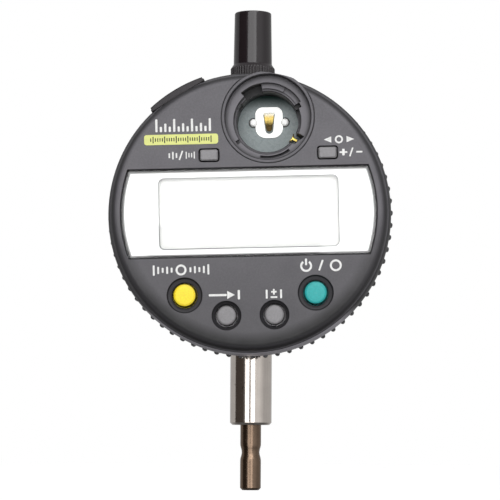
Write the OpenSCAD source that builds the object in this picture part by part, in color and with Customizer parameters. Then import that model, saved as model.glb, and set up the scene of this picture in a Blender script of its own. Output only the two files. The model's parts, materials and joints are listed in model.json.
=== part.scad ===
// Digital dial indicator: a round display unit that turns on the front of a fixed case,
// with a spring-loaded measuring spindle that runs through the case and its stem.
// Frame: +Z up along the spindle, -Y towards the reader, origin on the spindle axis
// halfway along the stem's clamping diameter.

/* [Face] */
// Radius of the flat front face
face_r = 29.2; // [28.8:0.1:29.4]
// Radius at the crease where the front edge meets the side wall
crease_r = 31.0; // [30.8:0.1:31.2]
// Radius of the side wall behind the flare
wall_r = 31.9; // [31.6:0.1:32]
// Distance of the front face ahead of the spindle axis
face_ahead = 19.5; // [19.2:0.1:20]
// Angle that the display unit is turned to on the case, anticlockwise
display_angle = 1.4; // [-5:0.1:5]
// Number of grip ribs round the rear rim
rib_count = 72; // [36:12:96]

/* [Window] */
// Height of the display window
window_h = 20.2; // [19:0.1:20.6]
// Radius of the curved ends of the window
window_end_r = 28.8; // [28:0.1:29]
// Width of the clear aperture in the window mask
aperture_w = 40.2; // [36:0.2:42]
// Height of the clear aperture in the window mask
aperture_h = 15.9; // [14:0.1:17]

/* [Battery bay] */
// Centre of the bay, right of the face centre
bay_x = 4.7; // [4.5:0.1:4.8]
// Centre of the bay, above the face centre
bay_z = 21.3; // [21:0.1:21.4]
// Radius of the recess for the battery cap
bay_cap_r = 9.6; // [9.5:0.1:9.7]
// Radius of the pocket that holds the button cell
cell_pocket_r = 6.9; // [6.8:0.1:7]
// Depth from the face to the circuit board at the bottom of the bay
bay_depth = 10.4; // [10.2:0.1:10.4]

/* [Buttons] */
// Travel of each button
button_travel = 0.6; // [0.4:0.1:0.6]
// How far the buttons stand proud of the face
button_proud = 0.6; // [0.3:0.1:0.8]
// Radius of the two large round buttons
large_button_r = 2.56; // [2.4:0.02:2.6]
// Radius of the two small round buttons
small_button_r = 2.22; // [2:0.02:2.3]

/* [Case and stem] */
// Outer radius of the fixed case
case_r = 29.5; // [29:0.1:29.6]
// Depth of the fixed case behind the spindle axis
case_behind = 8; // [8:0.5:10]
// Diameter of the stem, three eighths of an inch
stem_d = 9.525; // [8:0.005:9.525]
// Distance from the case centre down to the end of the stem
stem_end_drop = 47.25; // [46.8:0.05:48.2]
// Thickness of the back lug, and the diameter of its hole
lug_t = 6.35; // [5:0.01:7]

/* [Spindle] */
// Diameter of the spindle
spindle_d = 4.76; // [4.6:0.01:5]
// Measuring travel of the spindle
spindle_travel = 12.7; // [10:0.1:12.7]
// Distance from the case centre down to the end of the spindle at rest
spindle_end_drop = 62.15; // [60:0.05:64]
// Distance from the case centre up to the top of the spindle cap
cap_top_rise = 48.4; // [48.4:0.1:52]

/* [Hidden] */

$fn = 96;
eps = 0.01;
gap = 0.05;

// Depth planes, as Y positions, from the front to the back
face_y = -face_ahead;
crease_y = face_y + 2.0;
flare_y = face_y + 6.0;
wall_end_y = -9.8;
board_front_y = face_y + bay_depth;
board_back_y = board_front_y + 1.0;
plate_front_y = -7.9;
rib_end_y = -7.3;
plate_back_y = -5.9;
case_front_y = -5.6;
case_floor_y = -4.2;
hub_end_y = -4.1;
retainer_y = -3.7;
cover_back_y = case_behind + 2.0;
wall_inner_y = face_y + 2.5;
lens_front_y = face_y + 0.2;
lens_back_y = lens_front_y + 1.2;
mask_front_y = lens_back_y + 0.03;
mask_back_y = mask_front_y + 0.15;
lens_inset = 0.35;
lcd_front_y = wall_inner_y + 0.1;
lcd_back_y = lcd_front_y + 1.8;
encoder_y = 5.3;
encoder_back_y = encoder_y + 0.8;
rail_back_y = 3.2;
carrier_y = 3.4;
scale_y = 4.2;
guide_y = 1.2;
seal_depth = 0.4;
gasket_depth = 0.5;

// Radii of the case, the hub and the parts on the spindle
stem_r = stem_d / 2;
spindle_r = spindle_d / 2;
housing_inner_r = 29.3;
rim_r = wall_r - 0.2;
case_inner_r = case_r - 2.2;
hub_r = 9.0;
hub_inner_r = 6.5;
collar_r = 3.2;
bush_bore_r = spindle_r + gap;
bush_neck_r = 4.0;
cap_bore_r = 3.2;
cap_ceiling_t = 1.1;
tap_drill_r = 1.15;
bearing_r = 10.4;
stem_bore_r = 3.4;
bush_flange_r = 4.7;
cover_tap_r = 1.0;
board_tap_r = 0.7;
rail_tap_r = 0.5;
hub_tap_r = 0.4;
plate_tap_r = 0.8;
gasket_outer_r = case_r - 0.6;
gasket_inner_r = case_r - 1.4;
rim_seal_outer_r = rim_r - 0.5;
rim_seal_inner_r = rim_r - 1.3;
spigot_r = 4.4;
stem_land_r = stem_r + 0.68;
seal_outer_r = 24.9;
seal_inner_r = 23.7;

// Heights along the spindle, counted from the case centre
stem_seat = -28.9;
stem_top = -21.5;
bush_seat = 29.0;
bush_bottom = 21.0;
bush_top = 34.3;
cap_bottom = 31.5;
spring_seat = 4.0;
spindle_top = 34.4;
stem_chamfer = 0.5;
wiper_low = 0.4 - stem_end_drop;
wiper_high = wiper_low + 1.4;
lower_bush_top = -32;
bush_flange_top = 31.2;
cap_bore_low = 35;
guide_z = -10;
guide_r = 0.8;
body_z = (stem_end_drop - stem_chamfer - stem_seat) / 2;

// Places round the face and the case
stop_r = 13.5;
stop_pin_r = 0.7;
turn_limit = 165;
cover_screw_r = 25.0;
plate_screw_r = 26.8;
hub_screw_r = (hub_r + hub_inner_r) / 2;
hub_screw_angles = [90:120:330];
cover_screw_angles = [45:90:315];
lug_y = cover_back_y + 5.5;
plate_screw_angles = [40, 140, 220, 320];
post_r = 0.85;
post_x = 3.55;
leaf_z = 2.2;
leaf_l = 4.6;
leaf_end_r = 0.7;
bay_ledge_r = 7.5;
bay_wall_r = 9.7;
pocket_spot = [bay_x - 0.2, bay_z - 0.7];
port_angle = 120;
port_seat = 30.8;
port_l = 13.9;
port_r = 32.5;
well_back_y = wall_inner_y + 1;
flange_front_y = -16.8;
flange_back_y = -16.0;
plunger_r = 1.1;
plunger_end_y = board_front_y - 1.3 - button_travel;
port_front_y = face_y + 2.1;
port_back_y = face_y + 9.1;
board_screw_spots = [[-11.5, 11.5], [11.5, 11.5], [-11.5, -17.5], [11.5, -17.5]];
rail_x = -12.25;
rail_screw_z = [-12.5, 5.5];
large_dish_r = 4.0;
small_dish_r = 3.3;
well_gap = 0.3;
zero_spot = [-14.6, -18.4];
power_spot = [14.6, -18.4];
preset_spot = [-5.34, -23.1];
tolerance_spot = [5.34, -23.1];
unit_spot = [-8.6, 12.9];
sign_spot = [17.9, 12.9];
key_spots = [zero_spot, power_spot, preset_spot, tolerance_spot, unit_spot, sign_spot];
small_button_size = [4.0, 2.5];
small_hole_size = [4.7, 3.1];

// Half-round front edge: an elliptic quarter from the flat face out to the crease
edge_steps = 8;
front_edge = [for (i = [0:edge_steps])
    let (a = 90 * i / edge_steps)
    [face_r + (crease_r - face_r) * sin(a), crease_y - (crease_y - face_y) * cos(a)]];
// Side wall: flares from the crease to its full radius
side_flare = [for (i = [1:5])
    let (a = 90 * i / 5)
    [crease_r + (wall_r - crease_r) * sin(a), crease_y + (flare_y - crease_y) * (1 - cos(a))]];

// ---- Helpers -------------------------------------------------------------

// An outline in X and Z, counted from the face centre, as a slab between two depths
module slab(front, back) {
    translate([0, back, body_z]) rotate([90, 0, 0]) linear_extrude(back - front) children();
}

// A solid turned about the face's axis from points of radius and depth
module turned(points) {
    translate([0, 0, body_z])
        rotate([90, 0, 0])
            rotate_extrude()
                polygon([for (p = points) [p[0], -p[1]]]);
}

// The same about an axis through a spot on the face
module turned_at(spot, points) {
    translate([spot[0], 0, spot[1]]) turned(points);
}

// A round bar along the depth at a spot on the face
module bar(spot, r, front, back) {
    translate([spot[0], back, body_z + spot[1]]) rotate([90, 0, 0]) cylinder(r = r, h = back - front);
}

// A solid turned about the spindle from points of radius and height above the case centre
module on_spindle(points) {
    translate([0, 0, body_z]) rotate_extrude() polygon(points);
}

// A block from its lowest to its highest corner, heights counted from the case centre
module block(low, high) {
    translate([low[0], low[1], body_z + low[2]]) cube(high - low);
}

module rounded_rect(size, r) {
    square([size[0] - 2 * r, size[1]], center = true);
    square([size[0], size[1] - 2 * r], center = true);
    for (sx = [-1, 1], sy = [-1, 1])
        translate([sx * (size[0] / 2 - r), sy * (size[1] / 2 - r)]) circle(r, $fn = 32);
}

// A ring sector between two radii and two angles, less than half a turn
module sector(r1, r2, a1, a2) {
    reach = r2 * 3;
    intersection() {
        difference() {
            circle(r2);
            circle(r1);
        }
        polygon([[0, 0], reach * [cos(a1), sin(a1)], reach * [cos((a1 + a2) / 2), sin((a1 + a2) / 2)],
                 reach * [cos(a2), sin(a2)]]);
    }
}

// Outline of the window: a band across the face with round ends
module window_outline(inset) {
    intersection() {
        circle(window_end_r - inset);
        square([80, window_h - 2 * inset], center = true);
    }
}

// Turns a piece of the display unit to the angle that the unit is set to
module on_display() {
    translate([0, 0, body_z]) rotate([0, -display_angle, 0]) translate([0, 0, -body_z]) children();
}

function polar(r, a) = [r * cos(a), r * sin(a)];

// ---- Fixed case ----------------------------------------------------------

// Boss block inside the case, above or below the works
module case_boss(low, high) {
    intersection() {
        block([-7, case_floor_y - eps, low], [7, 6.4, high]);
        slab(case_floor_y - eps, 6.4) circle(case_inner_r + 1);
    }
}

module case_body() {
    color("dimgray")
        difference() {
            union() {
                difference() {
                    turned([[0, case_front_y], [case_r - 0.6, case_front_y], [case_r, case_front_y + 0.6],
                            [case_r, case_behind], [0, case_behind]]);
                    slab(case_floor_y, case_behind + 1) circle(case_inner_r);
                }
                case_boss(-28, stem_top);
                case_boss(bush_bottom, 28);
                for (a = cover_screw_angles)
                    bar(polar(cover_screw_r, a), 2.4, case_floor_y - eps, case_behind);
                for (p = board_screw_spots) bar(p, 1.8, case_floor_y - eps, encoder_y);
            }
            // Bearing bore, seal groove and stop pin hole in the front wall
            slab(case_front_y - 1, case_floor_y + 1) circle(bearing_r);
            slab(case_front_y - 1, case_front_y + seal_depth)
                difference() {
                    circle(seal_outer_r);
                    circle(seal_inner_r);
                }
            bar(polar(stop_r, 90), stop_pin_r, case_front_y - 1, case_floor_y - 0.2);
            // Flat land and spigot hole for the stem, and the hole for the upper bush
            on_spindle([[0, -31], [stem_land_r, -31], [stem_land_r, stem_seat], [spigot_r, stem_seat],
                        [spigot_r, stem_top + 1], [0, stem_top + 1]]);
            on_spindle([[0, bush_bottom - 1], [bush_neck_r, bush_bottom - 1], [bush_neck_r, bush_seat],
                        [bush_flange_r, bush_seat], [bush_flange_r, 31], [0, 31]]);
            // Tapped holes
            for (a = cover_screw_angles) bar(polar(cover_screw_r, a), cover_tap_r, 2, case_behind + 1);
            for (p = board_screw_spots) bar(p, board_tap_r, 1, encoder_y + 1);
            for (z = rail_screw_z) bar([rail_x, z], rail_tap_r, case_floor_y - 0.7, case_floor_y + 1);
            // Groove for the back gasket
            slab(case_behind - gasket_depth, case_behind + 1)
                difference() {
                    circle(gasket_outer_r);
                    circle(gasket_inner_r);
                }
        }
}

module bearing_ring() {
    color("goldenrod")
        slab(case_front_y, case_floor_y)
            difference() {
                circle(bearing_r);
                circle(hub_r + gap);
            }
}

module dust_seal() {
    color("black")
        slab(case_front_y - 0.2, case_front_y + seal_depth)
            difference() {
                circle(seal_outer_r);
                circle(seal_inner_r);
            }
}

module rotation_stop_pin() {
    color("silver") bar(polar(stop_r, 90), stop_pin_r, plate_back_y - 0.7, case_floor_y - 0.2);
}

module back_cover() {
    color("dimgray")
        difference() {
            union() {
                turned([[0, case_behind], [case_r, case_behind], [case_r, cover_back_y - 0.8],
                        [case_r - 0.8, cover_back_y], [0, cover_back_y]]);
                translate([-lug_t / 2, lug_y, body_z]) rotate([0, 90, 0]) cylinder(r = lug_t, h = lug_t);
                block([-lug_t / 2, cover_back_y - 1, -lug_t], [lug_t / 2, lug_y, lug_t]);
                bar([0, 0], 8.5, cover_back_y - eps, cover_back_y + 1.2);
            }
            translate([-lug_t, lug_y, body_z]) rotate([0, 90, 0]) cylinder(d = lug_t, h = 2 * lug_t);
            for (a = cover_screw_angles) {
                bar(polar(cover_screw_r, a), 1.1, case_behind - 1, cover_back_y);
                bar(polar(cover_screw_r, a), 2.1, cover_back_y - 1.2, cover_back_y + 1);
            }
        }
}

module back_gasket() {
    color("black")
        slab(case_behind - gasket_depth, case_behind)
            difference() {
                circle(gasket_outer_r);
                circle(gasket_inner_r);
            }
}

// A cross-head screw along the depth: shank forwards, head towards the back
module screw(spot, shank_r, head_r, front, seat, back) {
    slot_w = head_r * 0.3;
    difference() {
        union() {
            bar(spot, shank_r, front, seat + eps);
            bar(spot, head_r, seat, back);
        }
        for (size = [[head_r * 1.3, slot_w], [slot_w, head_r * 1.3]])
            slab(back - (back - seat) * 0.6, back + 1) translate(spot) square(size, center = true);
    }
}

module back_cover_screws() {
    color("silver")
        for (a = cover_screw_angles)
            screw(polar(cover_screw_r, a), cover_tap_r, 1.9, 2.2, cover_back_y - 1.2, cover_back_y - 0.1);
}

module stem() {
    color("silver")
        on_spindle([[stem_bore_r, -stem_end_drop], [stem_r - stem_chamfer, -stem_end_drop],
                    [stem_r, -stem_end_drop + stem_chamfer], [stem_r, stem_seat], [spigot_r, stem_seat],
                    [spigot_r, stem_top], [stem_bore_r, stem_top]]);
}

module lower_bush() {
    color("peru")
        on_spindle([[bush_bore_r, wiper_high], [stem_bore_r, wiper_high], [stem_bore_r, lower_bush_top],
                    [bush_bore_r, lower_bush_top]]);
}

module spindle_wiper() {
    color("black")
        on_spindle([[spindle_r + 0.1, wiper_low], [stem_bore_r, wiper_low], [stem_bore_r, wiper_high],
                    [spindle_r + 0.1, wiper_high]]);
}

module upper_bush() {
    color("peru")
        on_spindle([[bush_bore_r, bush_bottom], [bush_neck_r, bush_bottom], [bush_neck_r, bush_seat],
                    [bush_flange_r, bush_seat], [bush_flange_r, bush_flange_top],
                    [bush_neck_r, bush_flange_top], [bush_neck_r, bush_top - 0.4],
                    [bush_neck_r - 0.4, bush_top], [bush_bore_r, bush_top]]);
}

module guide_rail() {
    color("gray")
        difference() {
            block([rail_x - 1.25, case_floor_y, -13.5], [rail_x + 1.25, rail_back_y, 6.5]);
            block([rail_x - 2, 0.35, -11.5], [rail_x + 2, 2.05, 4.5]);
            for (z = rail_screw_z) bar([rail_x, z], rail_tap_r, case_floor_y - 1, rail_back_y + 1);
        }
}

module guide_rail_screws() {
    color("silver")
        for (z = rail_screw_z)
            screw([rail_x, z], rail_tap_r, 1.0, case_floor_y - 0.6, rail_back_y, rail_back_y + 0.7);
}

module encoder_board() {
    color("seagreen")
        difference() {
            slab(encoder_y, encoder_back_y) translate([0, -3]) rounded_rect([28, 33.5], 1.5);
            for (p = board_screw_spots) bar(p, board_tap_r + 0.1, encoder_y - 1, encoder_back_y + 1);
        }
}

module encoder_chip() {
    color("black") slab(encoder_back_y, encoder_back_y + 1) translate([0, -2]) rounded_rect([9, 7], 0.4);
}

module encoder_board_screws() {
    color("silver")
        for (p = board_screw_spots)
            screw(p, board_tap_r, 1.3, 1.2, encoder_back_y, encoder_back_y + 0.8);
}

// Flat cable from the encoder board round the case floor to the middle of the hub
module sensor_ribbon() {
    low_y = retainer_y + 0.16;
    color("darkorange") {
        block([13.9, low_y, -1.5], [14.05, encoder_y, 1.5]);
        block([0.05, low_y, -1.5], [14.05, low_y + 0.12, 1.5]);
        block([-0.05, plate_back_y - 1.4, -1.5], [0.1, low_y + 0.12, 1.5]);
    }
}

function helix_ring(centre, angle, wire_r, n) =
    [for (i = [0:n - 1])
        let (t = 360 * i / n, d = centre[0] + wire_r * cos(t))
        [d * cos(angle), d * sin(angle), centre[1] + wire_r * sin(t)]];

// Compression spring between the spring collar and the upper bush
module return_spring() {
    coil_r = 2.88;
    wire_r = 0.16;
    turns = 8;
    steps = 20 * turns;
    sides = 6;
    low = spring_seat + wire_r + 0.02;
    high = bush_bottom - wire_r - 0.02;
    points = [for (i = [0:steps])
        each helix_ring([coil_r, low + (high - low) * i / steps], 360 * turns * i / steps, wire_r, sides)];
    walls = [for (i = [0:steps - 1], j = [0:sides - 1])
        let (a = i * sides + j, b = i * sides + (j + 1) % sides)
        [a, b, b + sides, a + sides]];
    caps = [[for (j = [sides - 1:-1:0]) j], [for (j = [0:sides - 1]) steps * sides + j]];
    color("silver") translate([0, 0, body_z]) polyhedron(points, concat(walls, caps));
}

// ---- Display unit --------------------------------------------------------

// Cut-outs for the battery cap's bayonet and for the cell
module bay_cuts() {
    spot = [bay_x, bay_z];
    ledge_y = face_y + 2.0;
    pocket_y = face_y + 3.6;
    entry_r = 8.7;
    inner_r = cell_pocket_r - 0.5;
    turned_at(spot, [[0, face_y - 1], [bay_cap_r + 0.2, face_y - 1], [bay_cap_r + 0.2, face_y],
                     [bay_cap_r, face_y + 0.2], [bay_cap_r, ledge_y], [0, ledge_y]]);
    turned_at(pocket_spot, [[0, ledge_y - 1], [bay_ledge_r + 0.15, ledge_y - 1],
                            [bay_ledge_r + 0.15, ledge_y], [bay_ledge_r, ledge_y + 0.15],
                            [bay_ledge_r, pocket_y], [cell_pocket_r + 0.2, pocket_y],
                            [cell_pocket_r, pocket_y + 0.2], [cell_pocket_r, board_front_y + 1],
                            [0, board_front_y + 1]]);
    // Where the cap's lugs enter, the ramp they turn along and the stop at its end
    bay_slot(pocket_y + 2.4) sector(inner_r, entry_r, 98, 132);
    bay_slot(pocket_y - 0.6) sector(inner_r, entry_r, 60, 99);
    bay_slot(pocket_y - 0.3) sector(inner_r, entry_r, 29, 61);
    bay_slot(pocket_y + 1.0) sector(inner_r, entry_r - 0.4, 21, 30);
    bay_slot(pocket_y + 2.4) sector(inner_r, bay_ledge_r + 0.15, -14, 22);
    // Vertical slots in the pocket wall, and the slots and notch in the ledge
    bay_slot(pocket_y + 4) sector(inner_r, bay_ledge_r - 0.3, 144, 156);
    bay_slot(ledge_y + 1.4) sector(7.95, 8.5, 258, 306);
    bay_slot(ledge_y + 1.2) sector(bay_ledge_r - 0.3, 8.5, 212, 218);
    bay_slot(board_front_y + 1) rotate(-32) polygon([[5.7, -1.2], [7.9, -1.5], [9, 1.2], [5.7, 1.2]]);
}

// A slot in the bay, from above the ledge down to a depth
module bay_slot(back) {
    slab(face_y + 1, back) translate(pocket_spot) children();
}

// Hole for a round button, with a dished rim and clearance round the button
module button_well(spot, r, dish_r) {
    turned_at(spot, [[0, face_y - 1], [dish_r, face_y - 1], [dish_r, face_y + 0.1],
                     [dish_r - 0.3, face_y + 0.5], [r + well_gap, face_y + 0.95],
                     [r + well_gap, well_back_y], [0, well_back_y]]);
}

module front_housing() {
    spot = [bay_x, bay_z];
    color("dimgray") on_display()
        difference() {
            union() {
                difference() {
                    turned(concat([[0, face_y]], front_edge, side_flare,
                                  [[wall_r, wall_end_y], [0, wall_end_y]]));
                    turned([[0, wall_inner_y], [housing_inner_r - 0.8, wall_inner_y],
                            [housing_inner_r, wall_inner_y + 0.8], [housing_inner_r, wall_end_y + 1],
                            [0, wall_end_y + 1]]);
                }
                // Collar round the battery bay and the wall of the cell pocket
                intersection() {
                    bar(spot, bay_cap_r + 0.8, face_y, crease_y + 3);
                    slab(face_y - 1, 0) circle(wall_r - 0.2);
                }
                intersection() {
                    bar(spot, bay_wall_r, wall_inner_y - eps, board_front_y);
                    union() {
                        slab(face_y - 1, wall_end_y) circle(housing_inner_r + 0.5);
                        slab(wall_end_y - 1, 0) circle(housing_inner_r - 0.3);
                    }
                }
                for (a = plate_screw_angles)
                    bar(polar(plate_screw_r, a), 2.0, wall_inner_y - eps, plate_front_y);
            }
            bay_cuts();
            // Groove round the collar
            slab(face_y - 1, face_y + 0.3)
                translate(spot)
                    difference() {
                        circle(bay_cap_r + 0.95);
                        circle(bay_cap_r + 0.7);
                    }
            // Window: rebate for the lens and the opening behind it
            slab(face_y - 1, mask_back_y) window_outline(0);
            slab(face_y, wall_inner_y + 1) rounded_rect([44, 17.8], 1.0);
            // Button holes and their dishes
            for (p = [zero_spot, power_spot]) button_well(p, large_button_r, large_dish_r);
            for (p = [preset_spot, tolerance_spot]) button_well(p, small_button_r, small_dish_r);
            for (p = [unit_spot, sign_spot])
                slab(face_y - 1, well_back_y) translate(p) rounded_rect(small_hole_size, 0.7);
            // Seat and hole for the data port
            slab(port_front_y - 0.1, port_back_y + 0.1)
                rotate(port_angle) translate([port_seat, -port_l]) square([4, 2 * port_l]);
            slab(port_front_y + 1.5, port_back_y - 1.2)
                rotate(port_angle) translate([26, -5.5]) square([8, 11]);
            // Tapped holes for the rear plate
            for (a = plate_screw_angles) bar(polar(plate_screw_r, a), plate_tap_r, -14, plate_front_y + 1);
        }
}

module rear_plate() {
    rib_r = 0.55;
    land = turn_limit + 3.6;
    color("dimgray") on_display()
        difference() {
            union() {
                turned([[0, plate_front_y], [housing_inner_r - 0.2, plate_front_y],
                        [housing_inner_r - 0.2, wall_end_y], [rim_r, wall_end_y], [rim_r, rib_end_y],
                        [rim_r - 1.4, plate_back_y], [hub_r, plate_back_y], [hub_r, hub_end_y],
                        [0, hub_end_y]]);
                for (i = [0:rib_count - 1])
                    bar(polar(rim_r + 0.1, 360 * i / rib_count), rib_r, wall_end_y, rib_end_y);
            }
            // Bosses of the housing reach down to the plate
            for (a = plate_screw_angles) {
                bar(polar(plate_screw_r, a), plate_tap_r + 0.1, wall_end_y, plate_back_y + 1);
                bar(polar(plate_screw_r, a), 1.7, plate_back_y - 0.9, plate_back_y + 1);
            }
            // Hollow of the hub
            slab(plate_front_y - 1, hub_end_y + 1) circle(hub_inner_r);
            // Groove that the rotation stop pin runs in
            slab(plate_back_y - 1.0, plate_back_y + 0.2)
                for (side = [0, 1])
                    mirror([side, 0]) {
                        sector(stop_r - 0.85, stop_r + 0.85, 85, 90 - land / 2);
                        sector(stop_r - 0.85, stop_r + 0.85, 90 - land, 90 - land / 2 + 1);
                        sector(stop_r - 0.85, stop_r + 0.85, 84, 91);
                    }
            // Groove for the rim seal
            slab(wall_end_y - 1, wall_end_y + 0.5)
                difference() {
                    circle(rim_seal_outer_r);
                    circle(rim_seal_inner_r);
                }
            for (a = hub_screw_angles)
                bar(polar(hub_screw_r, a), hub_tap_r, plate_back_y - 0.5, hub_end_y + 1);
        }
}

module rear_plate_screws() {
    color("silver") on_display()
        for (a = plate_screw_angles)
            screw(polar(plate_screw_r, a), plate_tap_r, 1.6, -13.5, plate_back_y - 0.9, plate_back_y - 0.1);
}

module rim_seal() {
    color("black") on_display()
        slab(wall_end_y, wall_end_y + 0.5)
            difference() {
                circle(rim_seal_outer_r);
                circle(rim_seal_inner_r);
            }
}

module hub_retainer() {
    color("silver") on_display()
        difference() {
            slab(hub_end_y, retainer_y)
                difference() {
                    circle(10.2);
                    circle(hub_inner_r + 0.1);
                }
            for (a = hub_screw_angles)
                turned_at(polar(hub_screw_r, a),
                          [[0, hub_end_y - 1], [hub_tap_r, hub_end_y - 1], [hub_tap_r, hub_end_y],
                           [2 * hub_tap_r, retainer_y], [2 * hub_tap_r, retainer_y + 1], [0, retainer_y + 1]]);
        }
}

module hub_retainer_screws() {
    color("gray") on_display()
        for (a = hub_screw_angles)
            turned_at(polar(hub_screw_r, a),
                      [[0, plate_back_y - 0.4], [hub_tap_r, plate_back_y - 0.4], [hub_tap_r, hub_end_y],
                       [2 * hub_tap_r, retainer_y],
                       [0, retainer_y]]);
}

module window_lens() {
    color([0.9, 0.93, 0.93, 0.5]) on_display() slab(lens_front_y, lens_back_y) window_outline(lens_inset);
}

module window_mask() {
    color("white") on_display()
        slab(mask_front_y, mask_back_y)
            difference() {
                window_outline(lens_inset);
                rounded_rect([aperture_w, aperture_h], 1.2);
            }
}

module lcd_glass() {
    color("whitesmoke") on_display() slab(lcd_front_y, lcd_back_y) square([44.5, 20.4], center = true);
}

module lcd_reflector() {
    color("white") on_display() slab(lcd_back_y, lcd_back_y + 0.3) square([43, 15.4], center = true);
}

module lcd_holder() {
    color("white") on_display()
        slab(lcd_back_y + 0.3, board_front_y)
            difference() {
                square([45, 20.6], center = true);
                for (side = [-1, 1]) translate([0, side * 8.9]) square([41, 1.6], center = true);
                square([40, 13.6], center = true);
            }
}

module contact_strips() {
    color("dimgray") on_display()
        for (side = [-1, 1])
            slab(lcd_back_y, board_front_y) translate([0, side * 8.9]) square([39, 1.5], center = true);
}

module main_board() {
    color("cadetblue") on_display()
        slab(board_front_y, board_back_y)
            difference() {
                circle(housing_inner_r - 0.5);
                for (a = plate_screw_angles) translate(polar(plate_screw_r, a)) circle(2.2, $fn = 32);
                rotate(port_angle) translate([24.2, -6.6]) square([8, 13.2]);
                for (side = [-1, 1]) translate([bay_x + side * post_x, bay_z]) circle(post_r + 0.3, $fn = 32);
            }
}

module controller_chip() {
    color("black") on_display()
        slab(board_front_y - 1.4, board_front_y) translate([-8, 0]) rounded_rect([9, 9], 0.4);
}

module quartz_crystal() {
    color("silver") on_display()
        translate([5, board_front_y - 1.3, body_z - 3]) rotate([0, 90, 0]) cylinder(r = 1.0, h = 6);
}

module switch_domes() {
    color("gainsboro") on_display()
        for (p = key_spots)
            turned_at(p, [[0, board_front_y], [2.0, board_front_y], [2.0, board_front_y - 0.3],
                          [1.5, board_front_y - 0.8], [0.9, board_front_y - 1.2], [0, board_front_y - 1.2]]);
}

module battery_insulator() {
    color("ivory") on_display()
        slab(board_front_y - 0.35, board_front_y)
            translate([bay_x, bay_z])
                difference() {
                    union() {
                        rounded_rect([6.2, 7.0], 2.3);
                        translate([0, 1.2]) rounded_rect([6.2, 4.6], 1.6);
                    }
                    for (side = [-1, 1]) translate([side * post_x, 0]) circle(post_r + gap, $fn = 32);
                    polygon([[-1.35, leaf_z - 0.3], [1.35, leaf_z - 0.3], [0.9, leaf_z - leaf_l + leaf_end_r],
                             [-0.9, leaf_z - leaf_l + leaf_end_r]]);
                    translate([0, leaf_z - leaf_l + leaf_end_r]) circle(leaf_end_r + 0.2, $fn = 32);
                }
}

// Heat-staked posts that hold the insulator to the board
module insulator_posts() {
    color("white") on_display()
        for (side = [-1, 1])
            turned_at([bay_x + side * post_x, bay_z],
                      [[0, board_front_y - 1.0], [post_r * 0.7, board_front_y - 0.9],
                       [post_r, board_front_y - 0.6], [post_r, board_back_y - 0.1], [0, board_back_y - 0.1]]);
}

// Tapered leaf spring, rooted at the top of the insulator, that rises to the bottom of the cell
module battery_leaf_contact() {
    lift_angle = 15;
    color("gold") on_display()
        translate([bay_x, board_front_y - 0.35, body_z + bay_z + leaf_z])
            rotate([90 - lift_angle, 0, 0])
                linear_extrude(0.15) {
                    polygon([[-1.25, 0], [1.25, 0], [leaf_end_r, leaf_end_r - leaf_l],
                             [-leaf_end_r, leaf_end_r - leaf_l]]);
                    translate([0, leaf_end_r - leaf_l]) circle(leaf_end_r, $fn = 32);
                }
}

// Clip in the pocket wall that touches the side of the cell
module battery_side_contact() {
    color("gold") on_display()
        slab(board_front_y - 3.2, board_front_y)
            translate(pocket_spot)
                rotate(-32)
                    union() {
                        polygon([[6.1, -1], [6.3, -1], [6.65, 0], [6.3, 1], [6.1, 1], [6.4, 0]]);
                        translate([6.35, -0.25]) square([1.3, 0.5]);
                    }
}

module data_socket() {
    color("black") on_display()
        difference() {
            slab(port_front_y + 1.0, board_back_y + 0.1)
                rotate(port_angle) translate([24.4, -6.3]) square([3.8, 12.6]);
            slab(port_front_y + 2.4, port_back_y - 2.2)
                rotate(port_angle) translate([25.4, -4.7]) square([4, 9.4]);
        }
}

module data_socket_pins() {
    mid_y = (port_front_y + port_back_y + 0.2) / 2;
    color("gold") on_display()
        translate([0, mid_y, body_z])
            rotate([0, -port_angle, 0])
                for (i = [-2:2])
                    translate([25.4, 0, 0])
                        translate([0, 0, i * 1.6])
                            rotate([0, 90, 0])
                                cylinder(r = 0.25, h = 2.6);
}

// Blank coloured label on the face
module face_badge() {
    color("khaki") on_display()
        slab(face_y - 0.08, face_y) translate([-14.8, 16.6]) rounded_rect([16.6, 2.3], 0.6);
}

// Flat cable wound in the hollow of the hub, so that the display can turn
module display_ribbon() {
    turns = 2.5;
    steps = 60;
    strip_t = 0.14;
    line = [for (i = [0:steps]) let (a = 360 * turns * i / steps) polar(2.4 + 3.6 * i / steps, a)];
    outer = [for (i = [0:steps]) let (a = 360 * turns * i / steps) polar(2.4 + strip_t + 3.6 * i / steps, a)];
    color("darkorange") on_display()
        slab(plate_back_y - 1.4, hub_end_y - 0.3)
            polygon(concat(line, [for (i = [steps:-1:0]) outer[i]]));
}

// A round button: domed cap, flange behind the wall and a plunger to its switch
module round_button(spot, r, tint) {
    top = face_y - button_proud;
    color(tint) on_display()
        turned_at(spot, [[0, top], [r * 0.55, top + 0.03], [r * 0.8, top + 0.1], [r - 0.15, top + 0.24],
                         [r, top + 0.45], [r, flange_front_y], [r + 0.6, flange_front_y],
                         [r + 0.6, flange_back_y], [plunger_r, flange_back_y],
                         [plunger_r, plunger_end_y], [0, plunger_end_y]]);
}

// A small rectangular button of the same build
module flat_button(spot) {
    top = face_y - button_proud + 0.2;
    color("darkgray") on_display() {
        slab(top, top + 0.25)
            translate(spot) rounded_rect(small_button_size - [0.4, 0.4], 0.35);
        slab(top + 0.25, flange_front_y + eps)
            translate(spot) rounded_rect(small_button_size, 0.5);
        slab(flange_front_y, flange_back_y)
            translate(spot) rounded_rect(small_hole_size + [0.8, 0.8], 0.5);
        bar(spot, plunger_r, flange_back_y - eps, plunger_end_y);
    }
}

module unit_button() { flat_button(unit_spot); }

module sign_button() { flat_button(sign_spot); }

module zero_button() { round_button(zero_spot, large_button_r, "gold"); }

module power_button() { round_button(power_spot, large_button_r, "mediumturquoise"); }

module preset_button() { round_button(preset_spot, small_button_r, "darkgray"); }

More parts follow.
